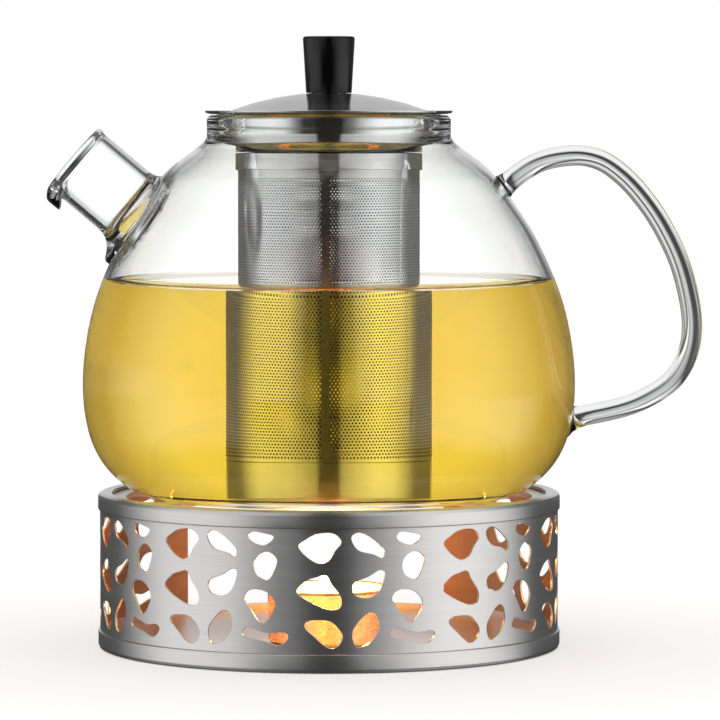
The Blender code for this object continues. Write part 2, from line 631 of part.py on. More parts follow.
# ---------------------------------------------------------------- assembly
def main():
    clear_scene()
    glass = make_material("clear_glass", (0.95, 0.97, 0.97), 0.03, transmission=1.0)
    steel = make_material("brushed_steel", (0.60, 0.60, 0.60), 0.30, metallic=1.0)
    lid_steel = make_material("satin_steel", (0.55, 0.55, 0.56), 0.35, metallic=1.0)
    plastic = make_material("black_plastic", (0.010, 0.010, 0.011), 0.12)
    foil = make_material("tealight_foil", (0.80, 0.80, 0.80), 0.25, metallic=1.0)
    wax = make_material("candle_wax", (0.92, 0.90, 0.84), 0.45)
    cotton = make_material("wick_cotton", (0.10, 0.08, 0.06), 0.90)
    tin = make_material("wick_tin", (0.65, 0.65, 0.66), 0.35, metallic=1.0)

    warmer = add_empty("warmer")
    build_foot_ring(steel, warmer)
    build_base_plate(steel, warmer)
    build_band(steel, warmer)
    build_top_ring(steel, warmer)
    build_pot_support(steel, warmer)

    tealight = add_empty("tealight", warmer)
    build_tealight(foil, wax, cotton, tin, tealight)

    pot = add_empty("pot", warmer)
    weld_guide = build_weld_guide()
    build_glass_body(glass, pot)
    build_glass_rim(glass, pot)
    build_spout(glass, pot, weld_guide)
    build_handle(glass, pot, weld_guide)

    infuser = add_empty("infuser", pot)
    build_infuser_rim(steel, infuser)
    build_infuser_collar(steel, infuser)
    build_infuser_sleeve(steel, infuser)
    build_infuser_base_cup(steel, infuser)

    lid = add_empty("lid", infuser)
    build_lid(lid_steel, lid)
    build_lid_locator(steel, lid)
    build_knob(plastic, lid)
    washer_low = build_knob_washer(steel, lid)
    build_knob_screw(steel, lid, washer_low)


main()
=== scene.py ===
import json
import math

import bmesh
import bpy
import numpy as np
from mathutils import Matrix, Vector

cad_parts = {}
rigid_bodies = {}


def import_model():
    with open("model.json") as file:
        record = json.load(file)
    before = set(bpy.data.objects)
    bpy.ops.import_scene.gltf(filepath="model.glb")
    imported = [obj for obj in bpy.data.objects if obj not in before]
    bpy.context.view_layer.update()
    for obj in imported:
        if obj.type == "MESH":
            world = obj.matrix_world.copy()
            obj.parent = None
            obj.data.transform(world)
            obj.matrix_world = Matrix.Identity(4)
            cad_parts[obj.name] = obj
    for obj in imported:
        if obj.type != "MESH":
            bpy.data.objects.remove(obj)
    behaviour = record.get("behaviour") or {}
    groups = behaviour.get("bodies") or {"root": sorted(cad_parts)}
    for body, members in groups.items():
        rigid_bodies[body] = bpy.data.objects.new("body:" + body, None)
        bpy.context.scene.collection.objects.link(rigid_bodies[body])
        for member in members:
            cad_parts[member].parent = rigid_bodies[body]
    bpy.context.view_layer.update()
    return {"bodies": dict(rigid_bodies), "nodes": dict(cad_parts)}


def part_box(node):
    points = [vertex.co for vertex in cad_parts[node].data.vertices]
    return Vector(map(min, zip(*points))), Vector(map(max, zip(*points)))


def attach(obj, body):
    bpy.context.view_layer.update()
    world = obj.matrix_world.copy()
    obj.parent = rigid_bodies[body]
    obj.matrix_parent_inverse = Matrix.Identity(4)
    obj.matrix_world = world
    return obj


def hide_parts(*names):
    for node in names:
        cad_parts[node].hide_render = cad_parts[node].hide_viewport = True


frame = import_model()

MM = 0.001
WELD = 0.002 * MM  # distance under which mesh points are one
FINE_SIDES = 192  # facets round a large turned piece
SMALL_SIDES = 96

# Glass pot
GLASS_SIDES = 200
GLASS_WALL = 2.1 * MM
GLASS_IOR = 1.47
NECK_INNER_R = 35.2 * MM
NECK_STRAIGHT_Z = 164.0 * MM  # the neck's bore is straight above this
BELLY_TOP_Z = 161.0 * MM  # and turns out into the belly from here
NECK_BEND = 4.5 * MM  # height of that turn
POT_FLOOR_Z = 50.5 * MM  # the floor inside
FLOOR_BEND = 1.2 * MM  # height of the turn from the wall into the floor
POT_BASE_R = 57.0 * MM  # edge of the flat bottom outside
SPOUT_BASE = Vector((-55.0, 0.0, 132.7)) * MM
SPOUT_MOUTH = Vector((-80.6, 0.0, 154.4)) * MM
SPOUT_R = 12.0 * MM
SPOUT_BORE_R = 10.1 * MM
SPOUT_SIDES = 96
FOOT_START = 7.0 * MM  # along the spout's axis, about where it meets the belly
FOOT_END = 14.0 * MM
FOOT_FLARE = 3.2 * MM
LIP_REACH = 3.3 * MM
LIP_FOLD = 5.0 * MM  # the lip turns over and back along the spout
LIP_HALF_ANGLE = math.radians(50.0)
BORE_REACH = (-9.0 * MM, 11.0 * MM)  # along its axis, where the bore is cut through the body
BORE_EASE = 0.02 * MM
COLLAR_BULGE = 2.5 * MM  # glass drawn inwards round the spout's hole
COLLAR_OFF = 1.2 * MM  # from the bore to where the bulge is highest
COLLAR_SPREAD = 3.4 * MM
COLLAR_DEPTH = 20.0 * MM  # the glass further inside than this stays as it is
HANDLE_R = 3.25 * MM
HANDLE_SIDES = 48
HANDLE_LINE = ((52.5, 143.5), (64.5, 152.2), (75.7, 155.0), (84.7, 153.9), (92.0, 149.3),
               (98.9, 142.0), (105.5, 132.2), (111.2, 119.6), (114.5, 104.5),
               (113.6, 93.4), (109.0, 84.8), (101.4, 79.2), (92.0, 75.4), (74.0, 71.6))
WELD_FLARE = 2.8 * MM  # how much thicker the rod is at its ends
WELD_LENGTH = 8.5 * MM

# Tea
TEA_Z = 114.4 * MM
TEA_CLIMB = 2.2 * MM  # how far up the wall the tea's edge reaches
# mm in from the wall, and mm above the tea's level
MENISCUS = ((9.0, 0.0), (4.5, 0.1), (2.6, 0.4), (1.4, 1.0), (0.9, 1.7), (0.85, 2.4))
TEA_OVERLAP = 0.15 * MM  # how far the tea reaches into the glass, so no air shows
TEA_IOR = 1.14
TEA_COLOUR = (0.938, 0.815, 0.0)
TEA_DENSITY = 25.0

# Knob
KNOB_EDGE = 0.75 * MM
KNOB_HOLE_R = 3.0 * MM  # nothing of the knob's outside is closer to its axis
KNOB_SKIRT = 0.5 * MM

# Strainer sleeve
HOLE_PITCH = 1.04 * MM
HOLE_ROW = 0.86 * MM
HOLE_R = 0.31 * MM
HOLES_LOW_Z = 63.7 * MM
HOLES_HIGH_Z = 150.3 * MM
SEAM_AZIMUTH = math.radians(-91.6)  # just left of the front
SEAM_WIDTH = 2.4 * MM
SLEEVE_RINGS = 3
SLEEVE_SEAM = 0.03 * MM  # hairline where the sleeve meets the base cup
CUP_WALL = 0.6 * MM
CUP_ROUND = 3.0 * MM

# Warmer
BAND_SHEET = 0.6 * MM
BAND_EDGE = 0.12 * MM
BAND_STEP = math.radians(1.5)
BAND_TUCK = 0.27 * MM  # the band all but meets the two rings
SUPPORT_SHEET = 1.0 * MM

# Tealight
FLUTES = 60
FLUTE_DEPTH = 0.06 * MM
FLUTE_TOP = 0.9  # share of the cup's height that is fluted
POOL_R = 13.0 * MM
POOL_DEPTH = 0.5 * MM
WAX_CLIMB = 0.45 * MM  # how far the wax is drawn up the wick
WAX_CLIMB_REACH = 0.7 * MM
WICK_BEND = 4.5 * MM  # length of the leaning tip
WICK_LEAN = 0.9 * MM
FLAME_H = 15.0 * MM
FLAME_R = 3.1 * MM
FLAME_FOOT = 3.2 * MM  # below the wick's tip
FLAME_HEART = 0.45  # share of the flame's height that the light is at
CANDLE_WATTS = 1.1
CANDLE_COLOUR = (1.0, 0.32, 0.06)
NOT_THROUGH_GLASS = ("candle", "tealight", "warmer_base_plate")  # pieces whose names start so

# Stage. What steel and glass mirror of the studio: the way round, where 0 is behind the
# camera and -1 and 1 are the backdrop, by the left and by the right, and the brightness
# there. One table is for level directions, and the others fade in by height over a span.
REFLECTED = ((-1.0, 1.3), (-0.96, 1.3), (-0.94, 0.10), (-0.72, 0.13), (-0.64, 0.50),
             (-0.55, 1.0), (-0.47, 1.08), (-0.25, 0.78), (-0.072, 0.34), (-0.064, 0.015),
             (0.068, 0.015), (0.076, 0.42), (0.35, 1.27), (0.43, 1.05), (0.55, 0.55),
             (0.65, 0.18), (0.94, 0.10), (0.96, 1.3), (1.0, 1.3))
REFLECTED_LOW = ((-1.0, 1.3), (-0.99, 1.3), (-0.97, 0.04), (-0.70, 0.05), (-0.60, 0.40),
                 (-0.50, 1.0), (-0.36, 1.15), (-0.27, 0.95), (-0.20, 0.30), (-0.15, 0.015),
                 (0.08, 0.015), (0.15, 0.25), (0.23, 0.85), (0.31, 1.25), (0.46, 1.3),
                 (0.55, 1.1), (0.63, 0.40), (0.68, 0.05), (0.97, 0.04), (0.99, 1.3), (1.0, 1.3))
REFLECTED_ABOVE = ((-1.0, 0.66), (-0.93, 0.66), (-0.88, 0.10), (-0.66, 0.12), (-0.48, 0.85),
                   (-0.25, 0.7), (-0.072, 0.34), (-0.064, 0.015), (0.068, 0.015), (0.076, 0.42),
                   (0.30, 0.95), (0.45, 0.95), (0.64, 0.12), (0.88, 0.10), (0.93, 0.66), (1.0, 0.66))
REFLECTED_BELOW = ((-1.0, 0.06), (-0.60, 0.05), (-0.32, 0.20), (-0.06, 0.02), (0.06, 0.02),
                   (0.32, 0.20), (0.60, 0.05), (1.0, 0.06))
LOW_FADE = (-0.07, -0.10)
ABOVE_FADE = (0.02, 0.10)
BELOW_FADE = (-0.35, -0.6)
TEA_GAIN = 1.6  # what steel in the tea mirrors, against dry steel
TEA_LIFT = 0.07
# A ray that has crossed more surfaces than this has gone through more than a rod, or
# through more than the two walls of the empty pot.
ROD_SURFACES = 2.5
GLASS_SURFACES = 4.5
# What shows through empty glass: share of the half turn away from the backdrop, and brightness.
THROUGH_GLASS = ((0.0, 1.2), (0.08, 1.2), (0.12, 0.80), (0.17, 0.42), (0.20, 0.15), (0.36, 0.06),
                 (0.42, 0.9), (1.0, 0.9))
# What shows through a solid rod: how far it turns light up and to the right, and brightness.
# That is multiplied by fine lines, which go by the turn away from the backdrop.
THROUGH_ROD = ((-1.0, 0.7), (-0.90, 0.6), (-0.80, 0.35), (-0.62, 0.55), (-0.50, 0.25), (-0.44, 0.06),
               (-0.10, 0.06), (-0.05, 0.35), (0.04, 0.62), (0.14, 0.75), (0.20, 1.1),
               (0.27, 1.1), (0.30, 0.20), (0.36, 0.06), (0.44, 0.60), (0.60, 0.85), (1.0, 0.40))
ROD_LINES = ((0.0, 1.0), (0.045, 1.0), (0.065, 0.45), (0.085, 0.50), (0.10, 1.0), (0.17, 0.95),
             (0.20, 0.25), (0.25, 0.60), (0.50, 0.50), (0.60, 0.50))
# What shows through the tea, by the same turn, to the left and to the right.
REFRACTED_LEFT = ((0.0, 1.2), (0.045, 1.2), (0.083, (0.88, 0.81, 0.75)),
                  (0.111, (0.68, 0.58, 0.50)), (0.15, (0.45, 0.37, 0.30)), (0.18, 0.10),
                  (0.30, 0.02), (0.36, 0.03), (0.42, 0.9), (1.0, 0.9))
REFRACTED_RIGHT = ((0.0, 1.2), (0.045, 1.2), (0.064, 1.0), (0.083, (0.86, 0.78, 0.70)),
                   (0.111, (0.66, 0.56, 0.47)), (0.20, (0.44, 0.38, 0.33)), (0.25, 0.20),
                   (0.30, 0.03), (0.36, 0.03), (0.42, 0.9), (1.0, 0.9))
SIDES_FADE = (-0.1, 0.1)
TABLE_SHOWS = 0.95  # the pale table, through glass seen from well above
TABLE_FADE = (-0.22, -0.34)
SOFT_LIGHT = 1.2  # what falls on dull surfaces from all round
FLOOR_SIZE = 12.0
FLOOR_DROP = 0.05 * MM  # keeps the table clear of the warmer's underside
CAMERA_PLACE = Vector((0.0098, -1.39, 0.170))
CAMERA_TARGET = Vector((0.0098, 0.0, 0.0905))
VIEW_WIDTH = 227.5 * MM  # seen from edge to edge at the target


# ---- reading the frame
def cad_copy(node):
    """The node's mesh with its split corners joined again."""
    copy = bmesh.new()
    copy.from_mesh(frame["nodes"][node].data)
    bmesh.ops.remove_doubles(copy, verts=copy.verts, dist=WELD)
    return copy


def runs(edges):
    """The vertices of each connected run of edges, in order along it."""
    links = {}
    for edge in edges:
        a, b = edge.verts
        links.setdefault(a, []).append(b)
        links.setdefault(b, []).append(a)
    left = dict(links)
    found = []
    while left:
        ends = [v for v in left if len(links[v]) == 1]
        here = ends[0] if ends else next(iter(left))
        run = []
        while here is not None:
            run.append(here)
            left.pop(here)
            here = next((v for v in links[here] if v in left), None)
        found.append(run)
    return found


def turned_profile(node):
    """The (r, z) outline of a turned node, where it crosses the +Y half-plane. A node
    that is solid on the axis gives a line from the axis to the axis, and any other
    node gives a closed ring."""
    copy = cad_copy(node)
    on_plane = {v for v in copy.verts if abs(v.co.x) < WELD and v.co.y > -WELD}
    edges = [e for e in copy.edges if e.verts[0] in on_plane and e.verts[1] in on_plane]
    run = runs(edges)[0]
    is_ring = any({run[0], run[-1]} == set(e.verts) for e in edges)
    outline = [(v.co.y, v.co.z) for v in run]
    copy.free()
    if not is_ring and outline[0][0] > WELD:
        outline.insert(0, (0.0, outline[0][1]))
    if not is_ring and outline[-1][0] > WELD:
        outline.append((0.0, outline[-1][1]))
    return outline


def outlines(node, is_wanted):
    """The border loops of the node's faces that pass a test."""
    copy = cad_copy(node)
    wanted = {f for f in copy.faces if is_wanted(f)}
    edges = [e for e in copy.edges if sum(f in wanted for f in e.link_faces) == 1]
    loops = [[v.co.copy() for v in run] for run in runs(edges)]
    copy.free()
    return loops


# ---- lines
def smooth_line(points, steps, closed=False):
    """A Catmull-Rom curve through points of any dimension."""
    points = [np.array(p, float) for p in points]
    count = len(points)
    spans = count if closed else count - 1
    line = []
    for i in range(spans):
        if closed:
            a, b, c, d = (points[(i + k) % count] for k in (-1, 0, 1, 2))
        else:
            b, c = points[i], points[i + 1]
            a = points[i - 1] if i else 2.0 * b - c
            d = points[i + 2] if i + 2 < count else 2.0 * c - b
        for k in range(steps):
            t = k / steps
            line.append(0.5 * (2.0 * b + (c - a) * t + (2.0 * a - 5.0 * b + 4.0 * c - d) * t * t
                               + (3.0 * b - a - 3.0 * c + d) * t ** 3))
    if not closed:
        line.append(points[-1])
    return [tuple(p) for p in line]


def rounded(points, radius, closed=True, steps=4, least_turn=12.0):
    """A polyline with each corner replaced by a small arc."""
    points = [Vector(p) for p in points]
    count = len(points)
    line = []
    for i, corner in enumerate(points):
        if not closed and i in (0, count - 1):
            line.append(corner)
            continue
        back = points[i - 1] - corner
        ahead = points[(i + 1) % count] - corner
        turn = math.pi - back.angle(ahead)
        if math.degrees(turn) < least_turn:
            line.append(corner)
            continue
        cut = min(radius * math.tan(turn / 2.0), 0.45 * back.length, 0.45 * ahead.length)
        start = corner + back.normalized() * cut
        end = corner + ahead.normalized() * cut
        for k in range(steps + 1):
            t = k / steps
            line.append(start * (1 - t) ** 2 + corner * 2 * t * (1 - t) + end * t * t)
    return [tuple(p) for p in line]


def shifted(profile, distance):
    """An (r, z) line moved sideways: positive is to the right of its run."""
    moved = []
    last = len(profile) - 1
    for i, (r, z) in enumerate(profile):
        before = profile[max(i - 1, 0)]
        after = profile[min(i + 1, last)]
        run = Vector((after[0] - before[0], after[1] - before[1])).normalized()
        moved.append((r + run.y * distance, z - run.x * distance))
    return moved


# ---- meshes
def circle(sides):
    """Points round a unit circle."""
    return [(math.cos(a), math.sin(a)) for a in (2.0 * math.pi * k / sides for k in range(sides))]


def add_piece(name, mesh, material, body, slot, *nodes):
    piece = bpy.data.objects.new(name, mesh)
    bpy.context.scene.collection.objects.link(piece)
    mesh.materials.append(material)
    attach(piece, body)
    if nodes:
        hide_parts(*nodes)
    return piece


def mesh_from(name, verts, faces, sharp=30.0):
    """A smooth-shaded mesh with its normals turned out."""
    mesh = bpy.data.meshes.new(name)
    mesh.from_pydata(verts, [], faces)
    work = bmesh.new()
    work.from_mesh(mesh)
    bmesh.ops.recalc_face_normals(work, faces=work.faces)
    work.to_mesh(mesh)
    work.free()
    mesh.shade_smooth()
    mesh.set_sharp_from_angle(angle=math.radians(sharp))
    return mesh


def lathe(name, profile, sides=FINE_SIDES, sharp=30.0):
    """A body of revolution about Z. A profile with an end on the axis closes there,
    and any other profile is a closed ring."""
    open_ended = min(profile[0][0], profile[-1][0]) < WELD
    around = circle(sides)
    verts = []
    rings = []
    for r, z in profile:
        if r < WELD:
            rings.append([len(verts)])
            verts.append((0.0, 0.0, z))
            continue
        rings.append(list(range(len(verts), len(verts) + sides)))
        verts += [(r * x, r * y, z) for x, y in around]
    faces = []
    pairs = list(zip(rings, rings[1:]))
    if not open_ended:
        pairs.append((rings[-1], rings[0]))
    for one, two in pairs:
        for k in range(sides):
            nxt = (k + 1) % sides
            face = [one[k % len(one)], one[nxt % len(one)], two[nxt % len(two)], two[k % len(two)]]
            faces.append([v for j, v in enumerate(face) if v not in face[:j]])
    return mesh_from(name, verts, faces, sharp)


def tube(name, rings, closed=True, sharp=35.0):
    """Skin over rings of points. Closed joins the last ring to the first, else both
    ends are filled."""
    sides = len(rings[0])
    verts = [tuple(p) for ring in rings for p in ring]
    faces = []
    for a in range(len(rings) if closed else len(rings) - 1):
        b = (a + 1) % len(rings)
        for i in range(sides):
            j = (i + 1) % sides
            faces.append((a * sides + i, a * sides + j, b * sides + j, b * sides + i))
    if not closed:
        faces.append(tuple(range(sides)))
        faces.append(tuple(range((len(rings) - 1) * sides, len(rings) * sides)))
    return mesh_from(name, verts, faces, sharp)


def combine(mesh, other, operation):
    """The exact Boolean of two meshes, as a new mesh."""
    target = bpy.data.objects.new("work", mesh)
    tool = bpy.data.objects.new("tool", other)
    for item in (target, tool):
        bpy.context.scene.collection.objects.link(item)
    cut = target.modifiers.new("cut", "BOOLEAN")
    cut.operation = operation
    cut.solver = "EXACT"
    cut.object = tool
    depsgraph = bpy.context.evaluated_depsgraph_get()
    made = bpy.data.meshes.new_from_object(target.evaluated_get(depsgraph))
    for item in (target, tool):
        bpy.data.objects.remove(item, do_unlink=True)
    return made


# ---- materials
class Nodes:
    """A short way to write the node tree of a shader."""

    def __init__(self, tree, shader):
        self.tree = tree
        self.shader = tree.nodes[shader]

    def add(self, kind, inputs=(), **settings):
        node = self.tree.nodes.new(kind)
        for key, value in settings.items():
            setattr(node, key, value)
        for key, value in dict(inputs).items():
            if isinstance(value, bpy.types.NodeSocket):
                self.tree.links.new(value, node.inputs[key])
            else:
                node.inputs[key].default_value = value
        return node

    def drive(self, **values):
        """Link values to the shader's sockets."""
        for key, value in values.items():
            self.tree.links.new(value, self.shader.inputs[key.replace("_", " ")])

    def math(self, operation, *values):
        return self.add("ShaderNodeMath", dict(enumerate(values)), operation=operation).outputs[0]

    def vector(self, operation, *values, output="Vector"):
        made = self.add("ShaderNodeVectorMath", dict(enumerate(values)), operation=operation)
        return made.outputs[output]

    def split(self, vector):
        return self.add("ShaderNodeSeparateXYZ", {"Vector": vector}).outputs

    def fit(self, value, start, end, low=0.0, high=1.0):
        """A value taken from the span between start and end to that between low and high."""
        return self.add("ShaderNodeMapRange", {"Value": value, "From Min": start, "From Max": end,
                                               "To Min": low, "To Max": high}).outputs["Result"]

    def mix(self, factor, one, other):
        """Colour one where the factor is 0, and the other where it is 1."""
        return self.add("ShaderNodeMix", {"Factor": factor, 6: one, 7: other},
                        data_type="RGBA").outputs[2]

    def ramp(self, value, stops):
        """A curve of greys, or of colours where a stop holds a tuple."""
        node = self.add("ShaderNodeValToRGB", {"Fac": value})
        points = node.color_ramp
        while len(points.elements) < len(stops):
            points.elements.new(1.0)
        for element, (place, level) in zip(points.elements, stops):
            element.position = place
            element.color = (*level, 1.0) if isinstance(level, tuple) else grey(level)
        return node.outputs["Color"]

    def place(self):
        """Where the point is, in the piece's own axes."""
        return self.add("ShaderNodeTexCoord").outputs["Object"]

    def off_axis(self, place):
        """The vector to the point from the nearest point of the Z axis."""
        parts = self.split(place)
        return self.add("ShaderNodeCombineXYZ", {"X": parts["X"], "Y": parts["Y"]}).outputs[0]

    def turned(self, around, across):
        """Coordinates for marks that run round the Z axis: around sets how fast they
        change along a mark, and across how fast from mark to mark."""
        place = self.place()
        flat = self.off_axis(place)
        radius = self.vector("LENGTH", flat, output="Value")
        heading = self.split(self.vector("NORMALIZE", flat))
        depth = self.math("ADD", self.split(place)["Z"], self.math("MULTIPLY", radius, 0.83))
        return self.add("ShaderNodeCombineXYZ", {
            "X": self.math("MULTIPLY", heading["X"], around),
            "Y": self.math("MULTIPLY", heading["Y"], around),
            "Z": self.math("MULTIPLY", depth, across)}).outputs[0]

    def noise(self, vector, scale=1.0, detail=3.0):
        return self.add("ShaderNodeTexNoise", {"Vector": vector, "Scale": scale, "Detail": detail,
                                               "Roughness": 0.55}).outputs["Fac"]

    def bump(self, height, distance):
        made = self.add("ShaderNodeBump", {"Height": height, "Distance": distance, "Strength": 1.0})
        self.drive(Normal=made.outputs["Normal"])


def grey(level):
    return (level, level, level, 1.0)


def new_material(name, **values):
    """A node material; values are set on the Principled node's own sockets."""
    material = bpy.data.materials.new(name)
    material.use_nodes = True
    nodes = Nodes(material.node_tree, "Principled BSDF")
    for key, value in values.items():
        nodes.shader.inputs[key.replace("_", " ")].default_value = value
    return material, nodes


def brushed_metal(name, dark, light, rough, streak=0.008 * MM):
    """Steel brushed round the Z axis: fine streaks of colour, roughness and relief,
    with highlights drawn out across them."""
    material, nodes = new_material(name, Metallic=1.0, Anisotropic=0.75, Anisotropic_Rotation=0.25)
    fine = nodes.noise(nodes.turned(1.6, 5200.0), detail=4.0)
    broad = nodes.noise(nodes.turned(0.7, 900.0), detail=2.0)
    smudge = nodes.noise(nodes.place(), scale=34.0, detail=2.0)
    grain = nodes.math("ADD", nodes.math("MULTIPLY", fine, 0.6), nodes.math("MULTIPLY", broad, 0.4))
    rub = nodes.math("ADD", nodes.math("MULTIPLY", grain, 0.65), nodes.math("MULTIPLY", smudge, 0.35))
    around = nodes.vector("CROSS_PRODUCT", (0.0, 0.0, 1.0), nodes.place())
    nodes.drive(Base_Color=nodes.ramp(grain, ((0.3, dark), (0.7, light))),
                Roughness=nodes.fit(rub, 0.3, 0.7, *rough),
                Tangent=nodes.vector("NORMALIZE", around))
    nodes.bump(grain, streak)
    return material


def clear_glass():
    """Borosilicate glass with the faint waves of hand-worked tube."""
    material, nodes = new_material("clear_glass", Base_Color=(0.985, 0.995, 0.99, 1.0),
                                   Roughness=0.0, IOR=GLASS_IOR, Transmission_Weight=1.0)
    nodes.bump(nodes.noise(nodes.place(), scale=38.0, detail=1.0), 0.02 * MM)
    return material


def tea_liquid():
    material, nodes = new_material("tea", Base_Color=grey(1.0), Roughness=0.0, IOR=TEA_IOR,
                                   Transmission_Weight=1.0)
    volume = nodes.add("ShaderNodeVolumeAbsorption", {"Color": (*TEA_COLOUR, 1.0),
                                                      "Density": TEA_DENSITY})
    output = material.node_tree.nodes["Material Output"]
    nodes.tree.links.new(volume.outputs[0], output.inputs["Volume"])
    return material


def black_plastic():
    """Polished black plastic with a few fine rubbing marks."""
    material, nodes = new_material("black_plastic", Base_Color=grey(0.002), IOR=1.42)
    marks = nodes.noise(nodes.turned(3.0, 1500.0))
    nodes.drive(Roughness=nodes.fit(marks, 0.0, 1.0, 0.07, 0.17))
    nodes.bump(marks, 0.002 * MM)
    return material


def foil():
    """Thin bright aluminium with drawing lines and small dents."""
    material, nodes = new_material("tealight_foil", Metallic=1.0)
    lines = nodes.noise(nodes.turned(9.0, 700.0), detail=4.0)
    dents = nodes.noise(nodes.place(), scale=260.0)
    nodes.drive(Base_Color=nodes.ramp(lines, ((0.3, 0.72), (0.7, 0.86))),
                Roughness=nodes.fit(lines, 0.0, 1.0, 0.16, 0.36))
    nodes.bump(nodes.math("ADD", lines, dents), 0.04 * MM)
    return material


def candle_wax():
    """Off-white wax, clearer and glossier in the molten pool round the wick."""
    material, nodes = new_material("candle_wax", Subsurface_Weight=0.6, Subsurface_Scale=1.0,
                                   Subsurface_Radius=(0.006, 0.004, 0.002))
    place = nodes.place()
    mottle = nodes.noise(place, scale=180.0)
    radius = nodes.vector("LENGTH", nodes.off_axis(place), output="Value")
    nodes.drive(Base_Color=nodes.ramp(mottle, ((0.3, (0.90, 0.86, 0.76)), (0.7, (0.96, 0.94, 0.88)))),
                Roughness=nodes.fit(radius, 11.0 * MM, 14.0 * MM, 0.04, 0.5))
    nodes.bump(mottle, 0.03 * MM)
    return material


def charred_cotton():
    """Braided wick, pale below and charred at the tip."""
    material, nodes = new_material("wick_cotton", Roughness=0.9)
    place = nodes.place()
    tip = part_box("tealight_wick")[1].z
    burnt = nodes.fit(nodes.split(place)["Z"], tip - 5.0 * MM, tip - 2.0 * MM)
    nodes.drive(Base_Color=nodes.ramp(burnt, ((0.0, (0.75, 0.70, 0.60)), (1.0, (0.03, 0.025, 0.02)))))
    braid = nodes.add("ShaderNodeTexWave", {"Vector": place, "Scale": 420.0, "Distortion": 2.0},
                      bands_direction="DIAGONAL").outputs["Fac"]
    nodes.bump(braid, 0.1 * MM)
    return material


def flame_light():
    """Burning gas: blue at the foot, yellow-white in the body, orange at the tip."""
    material, nodes = new_material("flame", Base_Color=grey(0.0), Specular_IOR_Level=0.0,
                                   Roughness=1.0, Emission_Strength=9.0)
    foot = flame_foot()
    rise = nodes.fit(nodes.split(nodes.place())["Z"], foot, foot + FLAME_H)
    glow = nodes.ramp(rise, ((0.0, (0.10, 0.16, 0.60)), (0.18, (0.95, 0.45, 0.12)),
                             (0.45, (1.0, 0.78, 0.42)), (0.8, (1.0, 0.62, 0.20)),
                             (1.0, (1.0, 0.36, 0.06))))
    nodes.drive(Emission_Color=glow)
    return material


# ---- glass pot
def belly_line():
    """The outer wall from the neck down to the edge of the flat bottom."""
    outline = turned_profile("glass_body")
    top = max(range(len(outline)), key=lambda i: outline[i][1])
    halves = (outline[:top + 1][::-1], outline[top:])
    outer = max(halves, key=lambda half: max(r for r, z in half))
    bottom = min(z for r, z in outer)
    line = [(r, z) for r, z in outer
            if r > POT_BASE_R - MM or (r > NECK_INNER_R + MM and z > bottom + MM)]
    return smooth_line(line, 3)


def spout_axis():
    """The spout's axis, and the directions across it to its underside and its side."""
    axis = (SPOUT_MOUTH - SPOUT_BASE).normalized()
    under = Vector((-axis.z, 0.0, axis.x))
    return axis, under, axis.cross(under)


def inner_floor(wall_foot, z):
    """The floor inside, slightly domed, from the foot of the wall to the axis."""
    return smooth_line([wall_foot, (54.6 * MM, z + 0.25 * MM), (48.0 * MM, z), (24.0 * MM, z + 0.2 * MM),
                        (0.0, z + 0.35 * MM)], 6)


def pot_shell(belly):
    """The turned body, with the glass round the spout's hole drawn inwards."""
    axis = spout_axis()[0]
    inner = [p for p in shifted(belly, GLASS_WALL)
             if POT_FLOOR_Z + FLOOR_BEND < p[1] < BELLY_TOP_Z - NECK_BEND]
    neck = smooth_line([(NECK_INNER_R, NECK_STRAIGHT_Z), (NECK_INNER_R, BELLY_TOP_Z), inner[0]], 6)
    floor = inner_floor(inner[-1], POT_FLOOR_Z)
    neck_r = belly[0][0]
    bead = (neck_r - NECK_INNER_R) / 2.0
    neck_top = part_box("glass_rim")[1].z
    rim = [(NECK_INNER_R + bead - bead * math.cos(a), neck_top - bead + bead * math.sin(a))
           for a in (math.pi * k / 12 for k in range(13))]
    bottom = smooth_line([belly[-1], (50.0 * MM, belly[-1][1]), (30.0 * MM, belly[-1][1] + 0.5 * MM),
                          (0.0, belly[-1][1] + 0.9 * MM)], 6)
    wall = [*neck[:-1], *inner, *floor[1:]]
    wall.reverse()
    profile = [*wall, *rim, *belly, *bottom[1:]]
    mesh = lathe("pot_shell", profile, GLASS_SIDES, 50.0)
    inner_count = len(wall)
    for index in range(1 + (inner_count - 1) * GLASS_SIDES):
        point = mesh.vertices[index].co
        off = point - SPOUT_BASE
        if off.dot(axis) > -COLLAR_DEPTH and point.x < 0.0:
            gap = (off - axis * off.dot(axis)).length - SPOUT_BORE_R
            push = COLLAR_BULGE * math.exp(-((gap - COLLAR_OFF) / COLLAR_SPREAD) ** 2)
            point -= axis * push
    mesh.update()
    return mesh


def spout_ring(distance, radius, reach=0.0, fold=0.0):
    """A ring round the spout, drawn out and folded back by so much at the lip."""
    axis, under, side = spout_axis()
    ring = []
    for down, across in circle(SPOUT_SIDES):
        off = abs(math.atan2(across, down))
        swell = 0.0
        if off < LIP_HALF_ANGLE:
            swell = math.cos(off / LIP_HALF_ANGLE * math.pi / 2.0) ** 1.5
        out = under * down + side * across
        ring.append(SPOUT_BASE + axis * (distance - fold * swell) + out * (radius + reach * swell))
    return ring


